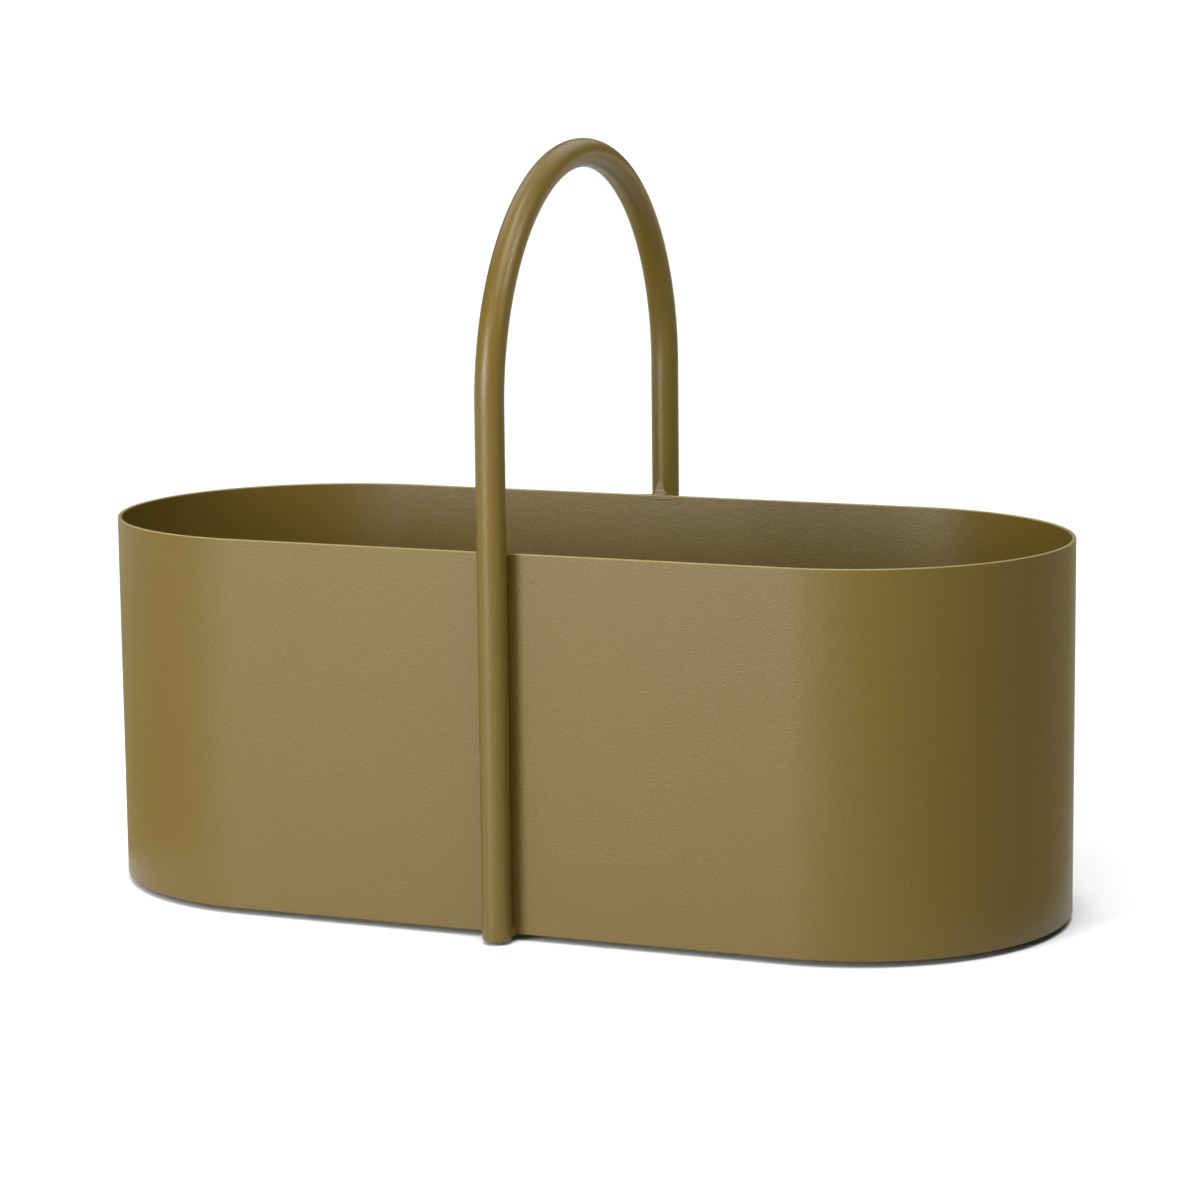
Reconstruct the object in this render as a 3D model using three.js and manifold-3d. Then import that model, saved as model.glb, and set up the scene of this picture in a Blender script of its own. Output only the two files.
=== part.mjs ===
// An open toolbox in coated steel: a wall strip rolled into a stadium, a flat floor welded inside it, and an
// arched tube handle whose two legs run down the outside of the long walls to just above the ground.
// Millimetres, +Z up. The origin is on the ground under the middle of the box, +X runs along its length and
// the front long wall faces -Y.
import * as THREE from "three";
import { mergeVertices } from "three/addons/utils/BufferGeometryUtils.js";
import Module from "manifold-3d";

const wasm = await Module();
wasm.setup();

// Box
const LENGTH = 350; // over the two round ends
const WIDTH = 150; // over the two long walls, and the diameter of the round ends
const WALL_HEIGHT = 130; // width of the rolled strip
const WALL_SHEET = 1.5;
const SEAM_WIDTH = 1.2; // butt seam that closes the strip, behind the rear leg
const GROUND_GAP = 2; // lower edge of the wall above the ground
const FLOOR_SHEET = 1.5;
const FLOOR_RECESS = 2; // underside of the floor above the wall's lower edge
const FLOOR_FIT = 0.3; // gap between the floor's edge and the wall

// Handle
const TUBE_DIAMETER = 10;
const TUBE_WALL = 1.5;
const HANDLE_TOP = 266; // top of the arch above the ground
const LEG_GAP = 1; // foot of each leg above the ground
const ROOT_GAP = 0.3; // between the legs and the wall they are welded to
const PLUG_HEAD = 2; // thickness of the end plug that shows below the tube
const PLUG_EDGE = 1; // radius of its lower edge
const PLUG_STEM = 9; // length of plug inside the tube
const PLUG_FIT = 0.3; // gap between the stem and the bore

// Weld beads
const WELD_CLEAR = 0.3; // kept between a bead and the piece that cuts it
const RIM_WELD_BASE = 6.4; // width along the rim
const RIM_WELD_CROWN = 2.6; // width where it runs out on the leg
const RIM_WELD_RISE = 5.2; // height above the rim
const RIM_WELD_TOE = 0.8; // how far its upper end stands proud of the leg
const TACK_RADIUS = 2.4; // pooled bead between a leg and the wall's lower edge
const TACK_RISE = 1.4; // its centre above that edge
const STITCH_LEG = 1.6; // fillet under the floor's edge
const STITCH_LENGTH = 22;
const STITCH_PITCH = 85; // between stitches along a long wall
const STITCHES_PER_SIDE = 3;

// Feet
const PAD_DIAMETER = 12;
const PAD_EDGE = 0.8; // bevel round the sole
const PAD_INSET = 16; // rim of the pad to the wall

// Facets
const END_SEGMENTS = 48; // in each half-round end
const ARCH_STEPS = 36; // in the handle's arch
const TUBE_SIDES = 24;

// Sizes that follow
const OUTER_RADIUS = WIDTH / 2;
const INNER_RADIUS = OUTER_RADIUS - WALL_SHEET;
const STRAIGHT = LENGTH / 2 - OUTER_RADIUS; // half of a wall's straight run
const RIM_Z = GROUND_GAP + WALL_HEIGHT;
const FLOOR_Z = GROUND_GAP + FLOOR_RECESS; // underside of the floor
const TUBE_RADIUS = TUBE_DIAMETER / 2;
const BORE_RADIUS = TUBE_RADIUS - TUBE_WALL;
const LEG_Y = OUTER_RADIUS + ROOT_GAP + TUBE_RADIUS; // legs' centre lines, and the arch's radius
const ARCH_Z = HANDLE_TOP - TUBE_RADIUS - LEG_Y; // centre of the arch
const TUBE_END_Z = LEG_GAP + PLUG_HEAD;
const FAR = LENGTH; // reach of a cutting block

const coat = new THREE.MeshStandardMaterial({ color: 0x8c7a4e, roughness: 0.55, metalness: 0.1 });
const rubber = new THREE.MeshStandardMaterial({ color: 0x26262a, roughness: 0.85, metalness: 0 });

// A closed geometry as a solid that can be joined and cut.
function solid(geometry) {
  const bare = geometry.index ? geometry.toNonIndexed() : geometry.clone();
  bare.deleteAttribute("normal");
  bare.deleteAttribute("uv");
  const merged = mergeVertices(bare, 1e-4);
  const corners = merged.index.array;
  const triVerts = [];
  for (let i = 0; i < corners.length; i += 3) {
    const [a, b, c] = corners.slice(i, i + 3);
    if (a !== b && b !== c && c !== a) triVerts.push(a, b, c);
  }
  return new wasm.Manifold(
    new wasm.Mesh({
      numProp: 3,
      vertProperties: merged.attributes.position.array,
      triVerts: new Uint32Array(triVerts),
    }),
  );
}

// A solid back as a geometry to draw.
function geometryOf(body) {
  const made = body.getMesh();
  const geometry = new THREE.BufferGeometry();
  geometry.setAttribute("position", new THREE.BufferAttribute(made.vertProperties, 3));
  geometry.setIndex(new THREE.BufferAttribute(made.triVerts, 1));
  geometry.computeVertexNormals();
  return geometry;
}

function addPiece(parent, name, body, material) {
  const mesh = new THREE.Mesh(geometryOf(body), material);
  mesh.name = name;
  parent.add(mesh);
  return mesh;
}

// A plan outline raised from one height to another.
function raised(outline, fromZ, toZ) {
  const options = { depth: toZ - fromZ, bevelEnabled: false, curveSegments: END_SEGMENTS / 2 };
  return solid(new THREE.ExtrudeGeometry(outline, options).translate(0, 0, fromZ));
}

// A block between two corners.
function block(low, high) {
  const size = new THREE.Vector3().subVectors(high, low);
  const middle = new THREE.Vector3().addVectors(low, high).multiplyScalar(0.5);
  return solid(new THREE.BoxGeometry(...size).translate(...middle));
}

// A round body on the Z axis, from its half profile of [radius, height] points.
function turned(profile) {
  const points = profile.map(([radius, height]) => new THREE.Vector2(radius, height));
  return solid(new THREE.LatheGeometry(points, TUBE_SIDES).rotateX(Math.PI / 2));
}

// The space round the rear leg that a weld bead may not enter.
function legClearance() {
  const height = HANDLE_TOP;
  const radius = TUBE_RADIUS + WELD_CLEAR;
  const post = new THREE.CylinderGeometry(radius, radius, height, 2 * TUBE_SIDES);
  return solid(post.rotateX(Math.PI / 2).translate(0, LEG_Y, height / 2));
}

// A stadium with round ends of the given radius about the ends of the straight run.
function stadium(radius) {
  const outline = new THREE.Shape();
  outline.absarc(STRAIGHT, 0, radius, -Math.PI / 2, Math.PI / 2, false);
  outline.absarc(-STRAIGHT, 0, radius, Math.PI / 2, 1.5 * Math.PI, false);
  outline.closePath();
  return outline;
}

// The strip seen from above: out along the outside face, back along the inside, open at the seam.
function stripOutline() {
  const lip = SEAM_WIDTH / 2;
  const outline = new THREE.Shape();
  outline.moveTo(-lip, OUTER_RADIUS);
  outline.absarc(-STRAIGHT, 0, OUTER_RADIUS, Math.PI / 2, 1.5 * Math.PI, false);
  outline.absarc(STRAIGHT, 0, OUTER_RADIUS, -Math.PI / 2, Math.PI / 2, false);
  outline.lineTo(lip, OUTER_RADIUS);
  outline.lineTo(lip, INNER_RADIUS);
  outline.absarc(STRAIGHT, 0, INNER_RADIUS, Math.PI / 2, -Math.PI / 2, true);
  outline.absarc(-STRAIGHT, 0, INNER_RADIUS, 1.5 * Math.PI, Math.PI / 2, true);
  outline.lineTo(-lip, INNER_RADIUS);
  outline.closePath();
  return outline;
}

function wallBand() {
  return raised(stripOutline(), GROUND_GAP, RIM_Z);
}

// The filled seam, ground flush with both faces of the strip.
function seamWeld() {
  const low = new THREE.Vector3(-SEAM_WIDTH / 2, INNER_RADIUS, GROUND_GAP);
  const high = new THREE.Vector3(SEAM_WIDTH / 2, OUTER_RADIUS, RIM_Z);
  return block(low, high);
}

function floorPlate() {
  return raised(stadium(INNER_RADIUS - FLOOR_FIT), FLOOR_Z, FLOOR_Z + FLOOR_SHEET);
}

// A hollow-faced fillet in the corner between the floor's underside and the wall, all the way round.
function floorFillet() {
  const reach = INNER_RADIUS - WELD_CLEAR;
  const rim = raised(stadium(reach), FLOOR_Z - STITCH_LEG, FLOOR_Z);
  const core = new THREE.ExtrudeGeometry(stadium(reach), {
    depth: STITCH_LEG,
    bevelThickness: STITCH_LEG,
    bevelSize: STITCH_LEG,
    bevelOffset: -STITCH_LEG,
    bevelSegments: 3,
    curveSegments: END_SEGMENTS / 2,
  });
  return rim.subtract(solid(core.translate(0, 0, FLOOR_Z - 2 * STITCH_LEG)));
}

// The fillet is laid in short stitches: some along each long wall and one round the middle of each end.
function addStitches(parent) {
  const fillet = floorFillet();
  const half = STITCH_LENGTH / 2;
  for (const [side, towards] of [["front", -1], ["rear", 1]]) {
    for (let i = 0; i < STITCHES_PER_SIDE; i += 1) {
      const x = (i - (STITCHES_PER_SIDE - 1) / 2) * STITCH_PITCH;
      const low = new THREE.Vector3(x - half, Math.min(0, towards * FAR), 0);
      const high = new THREE.Vector3(x + half, Math.max(0, towards * FAR), RIM_Z);
      addPiece(parent, `floor_weld_${side}_${i + 1}`, fillet.intersect(block(low, high)), coat);
    }
  }
  for (const [side, towards] of [["left", -1], ["right", 1]]) {
    const low = new THREE.Vector3(Math.min(0, towards * FAR), -half, 0);
    const high = new THREE.Vector3(Math.max(0, towards * FAR), half, RIM_Z);
    addPiece(parent, `floor_weld_${side}_end`, fillet.intersect(block(low, high)), coat);
  }
}

// Pads stuck under the floor near its four quarters.
function addPads(parent) {
  const radius = PAD_DIAMETER / 2;
  const sole = [[0, 0], [radius - PAD_EDGE, 0], [radius, PAD_EDGE], [radius, FLOOR_Z], [0, FLOOR_Z]];
  const pad = turned(sole);
  const y = INNER_RADIUS - PAD_INSET - radius;
  for (const [end, alongX] of [["left", -1], ["right", 1]]) {
    for (const [side, alongY] of [["front", -1], ["rear", 1]]) {
      addPiece(parent, `foot_pad_${side}_${end}`, pad, rubber).position.set(alongX * STRAIGHT, alongY * y, 0);
    }
  }
}

// Centre line of the handle tube: up the front leg, over the arch, down the rear leg. Its parameter counts
// one step for each straight leg and ARCH_STEPS round the arch.
class HandleLine extends THREE.Curve {
  getPoint(t, target = new THREE.Vector3()) {
    const step = t * (ARCH_STEPS + 2) - 1;
    if (step <= 0) return target.set(0, -LEG_Y, THREE.MathUtils.lerp(ARCH_Z, TUBE_END_Z, -step));
    const past = step - ARCH_STEPS;
    if (past >= 0) return target.set(0, LEG_Y, THREE.MathUtils.lerp(ARCH_Z, TUBE_END_Z, past));
    const angle = (Math.PI * step) / ARCH_STEPS;
    return target.set(0, -LEG_Y * Math.cos(angle), ARCH_Z + LEG_Y * Math.sin(angle));
  }

  getUtoTmapping(u) {
    return u;
  }
}

function handleTube() {
  const section = new THREE.Shape().absarc(0, 0, TUBE_RADIUS, 0, 2 * Math.PI, false);
  section.holes.push(new THREE.Path().absarc(0, 0, BORE_RADIUS, 0, 2 * Math.PI, true));
  return solid(
    new THREE.ExtrudeGeometry(section, {
      extrudePath: new HandleLine(),
      steps: ARCH_STEPS + 2,
      curveSegments: TUBE_SIDES / 2,
    }),
  );
}

// A plug that closes the foot of a leg: a round-edged head the width of the tube, and a stem in its bore.
function endPlug() {
  const stem = BORE_RADIUS - PLUG_FIT;
  const profile = [[0, LEG_GAP]];
  const edgeSteps = 4;
  for (let i = 0; i <= edgeSteps; i += 1) {
    const angle = (Math.PI / 2) * (i / edgeSteps);
    const radius = TUBE_RADIUS - PLUG_EDGE * (1 - Math.sin(angle));
    profile.push([radius, LEG_GAP + PLUG_EDGE * (1 - Math.cos(angle))]);
  }
  profile.push([TUBE_RADIUS, TUBE_END_Z], [stem, TUBE_END_Z]);
  profile.push([stem, TUBE_END_Z + PLUG_STEM], [0, TUBE_END_Z + PLUG_STEM]);
  return turned(profile);
}

// The bead on top of the rim that climbs the leg's inner side. Its face is the common part of a bell seen
// from the front and a hollow fillet seen from the side.
function rimWeld() {
  const foot = RIM_WELD_BASE / 2;
  const crown = RIM_WELD_CROWN / 2;
  const bell = new THREE.Shape();
  bell.moveTo(-foot, 0);
  bell.lineTo(foot, 0);
  bell.quadraticCurveTo(crown, RIM_WELD_RISE / 4, crown, RIM_WELD_RISE * 0.75);
  bell.quadraticCurveTo(crown, RIM_WELD_RISE, 0, RIM_WELD_RISE);
  bell.quadraticCurveTo(-crown, RIM_WELD_RISE, -crown, RIM_WELD_RISE * 0.75);
  bell.quadraticCurveTo(-crown, RIM_WELD_RISE / 4, -foot, 0);

  const toe = LEG_Y - TUBE_RADIUS - RIM_WELD_TOE;
  const fillet = new THREE.Shape();
  fillet.moveTo(INNER_RADIUS, 0);
  fillet.lineTo(LEG_Y, 0);
  fillet.lineTo(LEG_Y, RIM_WELD_RISE);
  fillet.lineTo(toe, RIM_WELD_RISE);
  fillet.quadraticCurveTo(toe, RIM_WELD_RISE / 4, INNER_RADIUS, 0);

  const options = { bevelEnabled: false, curveSegments: 6 };
  const front = new THREE.ExtrudeGeometry(bell, { ...options, depth: LEG_Y });
  front.rotateX(Math.PI / 2).translate(0, LEG_Y, RIM_Z);
  const side = new THREE.ExtrudeGeometry(fillet, { ...options, depth: RIM_WELD_BASE });
  side.rotateX(Math.PI / 2).rotateZ(Math.PI / 2).translate(-foot, 0, RIM_Z);
  return solid(front).intersect(solid(side)).subtract(legClearance());
}

// A bead pooled in the crevice between a leg and the foot of the wall, on one side of the leg.
function footTack(towards) {
  const centre = new THREE.Vector3(towards * (TUBE_RADIUS - TACK_RADIUS / 2), OUTER_RADIUS + ROOT_GAP, 0);
  centre.z = GROUND_GAP + TACK_RISE;
  const pool = new THREE.SphereGeometry(TACK_RADIUS, 16, 12).translate(...centre);
  const low = new THREE.Vector3(-FAR, OUTER_RADIUS + WELD_CLEAR, GROUND_GAP);
  const high = new THREE.Vector3(FAR, FAR, RIM_Z);
  return solid(pool).intersect(block(low, high)).subtract(legClearance());
}

const toolbox = new THREE.Group();

const box = new THREE.Group();
toolbox.add(box);
addPiece(box, "wall_band", wallBand(), coat);
addPiece(box, "wall_seam_weld", seamWeld(), coat);
addPiece(box, "floor_plate", floorPlate(), coat);
addStitches(box);
addPads(box);

const handle = new THREE.Group();
toolbox.add(handle);
addPiece(handle, "handle_tube", handleTube(), coat);

// What is alike at both legs: made at the rear leg, and turned half a turn for the front one.
for (const [side, turn] of [["front", Math.PI], ["rear", 0]]) {
  const leg = new THREE.Group();
  leg.rotation.z = turn;
  handle.add(leg);
  addPiece(leg, `${side}_end_plug`, endPlug(), coat).position.y = LEG_Y;
  addPiece(leg, `${side}_rim_weld`, rimWeld(), coat);
  addPiece(leg, `${side}_foot_tack_1`, footTack(-1), coat);
  addPiece(leg, `${side}_foot_tack_2`, footTack(1), coat);
}

export default toolbox;
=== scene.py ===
"""Looks of an open toolbox in coated steel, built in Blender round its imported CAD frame.

Each operator makes one kind of piece in its place, in metres, in the frame's own axes: +X along the box,
+Y to the rear long wall and +Z up from the ground.
"""

import math

import bpy
from bpy.props import FloatProperty, FloatVectorProperty, PointerProperty
from mathutils import Matrix, Vector


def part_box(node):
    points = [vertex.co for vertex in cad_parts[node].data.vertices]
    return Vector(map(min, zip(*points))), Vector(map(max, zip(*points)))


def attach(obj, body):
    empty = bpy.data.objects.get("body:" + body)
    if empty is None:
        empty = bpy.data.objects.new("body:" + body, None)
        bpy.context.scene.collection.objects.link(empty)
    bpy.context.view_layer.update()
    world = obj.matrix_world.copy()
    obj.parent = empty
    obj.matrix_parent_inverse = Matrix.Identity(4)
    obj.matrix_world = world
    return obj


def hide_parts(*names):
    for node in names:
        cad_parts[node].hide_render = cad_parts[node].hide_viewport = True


bl_info = {
    "name": "Open toolbox",
    "version": (1, 0, 0),
    "blender": (4, 5, 0),
    "location": "View3D > Sidebar > Toolbox",
    "description": "Sheet, tube, welds, pads and coat of an open steel toolbox",
    "category": "Add Mesh",
}

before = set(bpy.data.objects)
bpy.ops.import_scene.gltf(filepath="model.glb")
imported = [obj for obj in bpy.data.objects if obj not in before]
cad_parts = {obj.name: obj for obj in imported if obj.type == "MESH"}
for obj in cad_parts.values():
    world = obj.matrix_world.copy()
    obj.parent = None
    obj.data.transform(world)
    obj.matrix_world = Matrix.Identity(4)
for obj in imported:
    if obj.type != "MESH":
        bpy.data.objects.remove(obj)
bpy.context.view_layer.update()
BODY = "root"
STEEL_SLOT = "coated_steel"
PAD_SLOT = "pad_rubber"

WALL_LOW, WALL_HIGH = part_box("wall_band")
SEAM_LOW, SEAM_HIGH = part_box("wall_seam_weld")
FLOOR_LOW, FLOOR_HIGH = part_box("floor_plate")
TUBE_LOW, TUBE_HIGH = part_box("handle_tube")
PLUG_LOW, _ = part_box("rear_end_plug")
RIM_WELD_LOW, RIM_WELD_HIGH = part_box("rear_rim_weld")
TACK_LOW, TACK_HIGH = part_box("rear_foot_tack_2")
STITCH_LOW, STITCH_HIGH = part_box("floor_weld_rear_2")
NEXT_STITCH_LOW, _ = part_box("floor_weld_rear_3")
PAD_LOW, PAD_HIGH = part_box("foot_pad_rear_right")

TUBE_DIAMETER = TUBE_HIGH.x - TUBE_LOW.x
LEG_Y = TUBE_HIGH.y - TUBE_DIAMETER / 2
ARCH_CENTRE = TUBE_HIGH.z - TUBE_DIAMETER / 2 - LEG_Y

# Points round the box, round the sheet's edges and over the arch, and sides of the round pieces
BOX_POINTS = 254
EDGE_POINTS = 32
ARCH_POINTS = 97
TUBE_SIDES = 72
TURNED_SIDES = 64
BEAD_SIDES = 20
# Edges that turn by more than this stay sharp
SHARP_ANGLE = math.radians(50)

# Size and relief of the grain and gloss on each kind of piece, against the coat's own
SHEET_FINISH = {"coarseness": 0.7, "relief": 0.7}
TUBE_FINISH = {"coarseness": 0.8, "relief": 0.8, "gloss": 1.1}
BEAD_FINISH = {"coarseness": 0.8}

# Spans of a noise's values: nearly all of them, those about its middle and those in its upper half
NOISE_SPAN = (0.3, 0.7)
FLECK_SPAN = (0.35, 0.65)
DUST_SPAN = (0.45, 0.75)
# Span of a share
FULL_SPAN = (0.0, 1.0)
# Detail of a fine grain's noise
FINE_DETAIL = 3.0


def metres(name, description, default):
    """A size in metres, shown in the scene's units."""
    return FloatProperty(name=name, description=description, default=default, unit="LENGTH", precision=5)


def amount(name, description, default):
    """A plain number."""
    return FloatProperty(name=name, description=description, default=default, precision=3)


def tone(name, description, default):
    """A colour, in linear red, green and blue."""
    return FloatVectorProperty(name=name, description=description, default=default, subtype="COLOR")


class ToolboxBox(bpy.types.PropertyGroup):
    """Sizes of the rolled wall and its floor."""

    length: metres("Length", "Over the two round ends", WALL_HIGH.x - WALL_LOW.x)
    width: metres("Width", "Over the two long walls", WALL_HIGH.y - WALL_LOW.y)
    lower_edge: metres("Lower edge", "Wall's lower edge above the ground", WALL_LOW.z)
    height: metres("Height", "Width of the rolled strip", WALL_HIGH.z - WALL_LOW.z)
    sheet: metres("Sheet", "Thickness of the wall with its coat", SEAM_HIGH.y - SEAM_LOW.y)
    edge_radius: metres("Edge radius", "Rounding that the coat gives the rim", 0.00055)
    floor_underside: metres("Floor underside", "Underside of the floor above the ground", FLOOR_LOW.z)
    floor_top: metres("Floor top", "Upper face of the floor above the ground", FLOOR_HIGH.z)
    cove: metres("Cove", "Radius of the coat that pools where floor meets wall", 0.0009)


class ToolboxHandle(bpy.types.PropertyGroup):
    """Sizes of the bent tube and its end plugs."""

    diameter: metres("Tube diameter", "Outside, with its coat", TUBE_DIAMETER)
    leg_y: metres("Leg offset", "Leg's centre line from the middle of the box", LEG_Y)
    arch_centre: metres("Arch centre", "Centre of the arch above the ground", ARCH_CENTRE)
    tube_end: metres("Tube end", "Cut end of the tube above the ground", TUBE_LOW.z)
    plug_end: metres("Plug end", "Sole of the end plug above the ground", PLUG_LOW.z)
    plug_edge: metres("Plug edge", "Rounding of the plug's sole", 0.0008)


class ToolboxWelds(bpy.types.PropertyGroup):
    """Sizes of the weld beads."""

    rim_base: metres("Rim bead base", "Width along the rim", 0.0086)
    rim_crown: metres("Rim bead crown", "Width near its upper end", 0.0031)
    rim_rise: metres("Rim bead rise", "Height above the rim", RIM_WELD_HIGH.z - RIM_WELD_LOW.z)
    dressed_run: metres("Dressed run", "Ground-back bead along the rim", 0.026)
    dressed_depth: metres("Dressed depth", "Ground-back bead down the inner face", 0.0013)
    tack_rise: metres("Tack rise", "Height above the wall's lower edge", TACK_HIGH.z - TACK_LOW.z)
    tack_reach: metres("Tack reach", "Along the wall from the leg's middle", 0.005)
    stitch_leg: metres("Stitch leg", "Fillet under the floor's edge", STITCH_HIGH.z - STITCH_LOW.z)
    stitch_length: metres("Stitch length", "Each stitch along the wall", STITCH_HIGH.x - STITCH_LOW.x)
    stitch_pitch: metres("Stitch pitch", "Between stitches on a side", NEXT_STITCH_LOW.x - STITCH_LOW.x)
    ripple: metres("Ripple", "Between the ripples of a bead", 0.0013)


class ToolboxPads(bpy.types.PropertyGroup):
    """Sizes of the pads under the floor."""

    diameter: metres("Diameter", "Across the pad", PAD_HIGH.x - PAD_LOW.x)
    height: metres("Height", "Ground to the floor's underside", PAD_HIGH.z - PAD_LOW.z)
    edge: metres("Edge", "Rounding of the sole", 0.0012)
    along: metres("Along", "Pad's middle from the box's, along it", (PAD_HIGH.x + PAD_LOW.x) / 2)
    across: metres("Across", "Pad's middle from the box's, across it", (PAD_HIGH.y + PAD_LOW.y) / 2)


class ToolboxCoat(bpy.types.PropertyGroup):
    """Colour and grain of the powder coat."""

    colour: tone("Colour", "Olive brown of the coat", (0.120, 0.0790, 0.0114))
    shade: tone("Shade", "Darker flecks in the grain", (0.104, 0.0682, 0.0097))
    # The edge tone and its band are a painted highlight along the top of the rim, standing in for the gloss
    # that the lamps put on its rounded edge.
    edge: tone("Edge", "Lighter tone where the coat is drawn thin over the rim", (0.250, 0.190, 0.070))
    highlight_band: metres("Edge band", "Height of that lighter edge", 0.0004)
    drift: amount("Drift", "Slow change of tone, as a share of the flecks' own", 0.12)
    drift_width: metres("Drift width", "Width of that change", 0.07)
    roughness: amount("Roughness", "Of the satin finish", 0.39)
    uneven: amount("Uneven", "Change of roughness over the dimples", 0.05)
    ior: amount("IOR", "Refractive index of the coat", 1.39)
    peel: metres("Peel", "Width of the orange-peel dimples", 0.0017)
    peel_depth: metres("Peel depth", "Depth of those dimples", 0.00007)
    grain: metres("Grain", "Width of the powder's fine grain", 0.0007)
    grain_depth: metres("Grain depth", "Depth of that grain", 0.000115)
    rubber: tone("Rubber", "Black of the pads", (0.012, 0.012, 0.013))


class ToolboxStage(bpy.types.PropertyGroup):
    """Camera, light, floor and cards."""

    azimuth: amount("Azimuth", "Camera to the right of the front, in degrees", 22.152)
    elevation: amount("Elevation", "Camera above level, in degrees", 9.362)
    roll: amount("Roll", "Turn about the line of sight, in degrees", -0.594)
    distance: metres("Distance", "Camera from its target", 1.3132)
    lens: amount("Lens", "Focal length in millimetres", 112.08)
    target: FloatVectorProperty(
        name="Target",
        description="Point in the middle of the picture",
        subtype="XYZ",
        default=(0.00596, 0, 0.10473),
    )
    sky: amount("Sky", "Strength of the even light all round", 0.05)
    ground: tone("Ground", "White of the floor", (0.93, 0.93, 0.93))
    floor_size: metres("Floor size", "Side of the floor, which reaches the horizon", 800.0)
    near_floor: metres("Near floor", "Side of the floor's face under the box", 6.0)
    floor_gap: metres("Floor gap", "Floor below the pads' soles", 0.0002)
    card: tone("Card", "Tan of the cards beside the ends", (0.54, 0.44, 0.22))
    card_height: metres("Card height", "Cards above the pads' soles", 0.0002)


class ToolboxSettings(bpy.types.PropertyGroup):
    """All settings of the toolbox."""

    box: PointerProperty(type=ToolboxBox)
    handle: PointerProperty(type=ToolboxHandle)
    welds: PointerProperty(type=ToolboxWelds)
    pads: PointerProperty(type=ToolboxPads)
    coat: PointerProperty(type=ToolboxCoat)
    stage: PointerProperty(type=ToolboxStage)


# Node trees


def add_node(tree, kind, inputs=None, **settings):
    """A node with its settings made and its inputs set or linked."""
    node = tree.nodes.new(kind)
    for name, value in settings.items():
        setattr(node, name, value)
    for key, value in (inputs or {}).items():
        if isinstance(value, bpy.types.NodeSocket):
            tree.links.new(value, node.inputs[key])
        else:
            node.inputs[key].default_value = value
    return node


def maths(tree, operation, *values):
    """The result of one Math node."""
    node = add_node(tree, "ShaderNodeMath", dict(enumerate(values)), operation=operation)
    return node.outputs[0]


def logic(tree, operation, *values):
    """The result of one Boolean Math node."""
    node = add_node(tree, "FunctionNodeBooleanMath", dict(enumerate(values)), operation=operation)
    return node.outputs[0]


def vector(tree, x=0.0, y=0.0, z=0.0):
    """A vector from its parts."""
    return add_node(tree, "ShaderNodeCombineXYZ", {"X": x, "Y": y, "Z": z}).outputs[0]


def here(tree):
    """The X, Y and Z of each point."""
    place = add_node(tree, "GeometryNodeInputPosition").outputs[0]
    parts = add_node(tree, "ShaderNodeSeparateXYZ", {"Vector": place})
    return parts.outputs["X"], parts.outputs["Y"], parts.outputs["Z"]


def start_tree(name, sizes):
    """A geometry tree with an input for each named size; gives the tree and its inputs by name."""
    tree = bpy.data.node_groups.new(name, "GeometryNodeTree")
    tree.interface.new_socket("Geometry", in_out="OUTPUT", socket_type="NodeSocketGeometry")
    for size in sizes:
        tree.interface.new_socket(size, in_out="INPUT", socket_type="NodeSocketFloat")
    return tree, tree.nodes.new("NodeGroupInput").outputs


def end_tree(tree, geometry, material):
    """Smooths the mesh, keeps its sharp edges, makes instances real and sets the material."""
    angle = add_node(tree, "GeometryNodeInputMeshEdgeAngle").outputs["Unsigned Angle"]
    sharp = maths(tree, "GREATER_THAN", angle, SHARP_ANGLE)
    real = add_node(tree, "GeometryNodeRealizeInstances", {"Geometry": geometry}).outputs[0]
    inputs = {"Geometry": real, "Shade Smooth": True}
    smooth = add_node(tree, "GeometryNodeSetShadeSmooth", inputs).outputs[0]
    inputs = {"Geometry": smooth, "Selection": sharp, "Shade Smooth": False}
    creased = add_node(tree, "GeometryNodeSetShadeSmooth", inputs, domain="EDGE").outputs[0]
    inputs = {"Geometry": creased, "Material": material}
    finish = add_node(tree, "GeometryNodeSetMaterial", inputs).outputs[0]
    add_node(tree, "NodeGroupOutput", {"Geometry": finish})


def pull_apart(tree, curve, along_x, along_y=0.0, height=0.0):
    """Moves a curve's points away from the axes: a circle becomes a stadium or a round-cornered slot."""
    x, y, _ = here(tree)
    away_x = maths(tree, "MULTIPLY", maths(tree, "SIGN", x), along_x)
    away_y = maths(tree, "MULTIPLY", maths(tree, "SIGN", y), along_y)
    offset = vector(tree, away_x, away_y, height)
    return add_node(tree, "GeometryNodeSetPosition", {"Geometry": curve, "Offset": offset}).outputs[0]


def circle(tree, radius, points):
    """A circle curve turned by half a step, so that no point lies on the X axis."""
    made = add_node(tree, "GeometryNodeCurvePrimitiveCircle", {"Resolution": points, "Radius": radius})
    inputs = {"Geometry": made.outputs["Curve"], "Rotation": (0.0, 0.0, math.pi / points)}
    return add_node(tree, "GeometryNodeTransform", inputs).outputs[0]


def stadium_path(tree, length_in, width_in, inset, height):
    """The box's plan outline at a height, moved in by an inset, and half its straight length."""
    half_width = maths(tree, "DIVIDE", width_in, 2.0)
    straight = maths(tree, "SUBTRACT", maths(tree, "DIVIDE", length_in, 2.0), half_width)
    ring = circle(tree, maths(tree, "SUBTRACT", half_width, inset), BOX_POINTS)
    outline = pull_apart(tree, ring, straight, 0.0, height)
    return level_curve(tree, outline), straight


def level_curve(tree, curve):
    """A curve whose normals stay level, so that what is swept along it doesn't twist."""
    return add_node(tree, "GeometryNodeSetCurveNormal", {"Curve": curve}, mode="Z_UP").outputs[0]


def resampled(tree, curve, count):
    """A curve with a number of evenly spaced points."""
    inputs = {"Curve": curve, "Count": count}
    return add_node(tree, "GeometryNodeResampleCurve", inputs, mode="COUNT").outputs[0]


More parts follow.
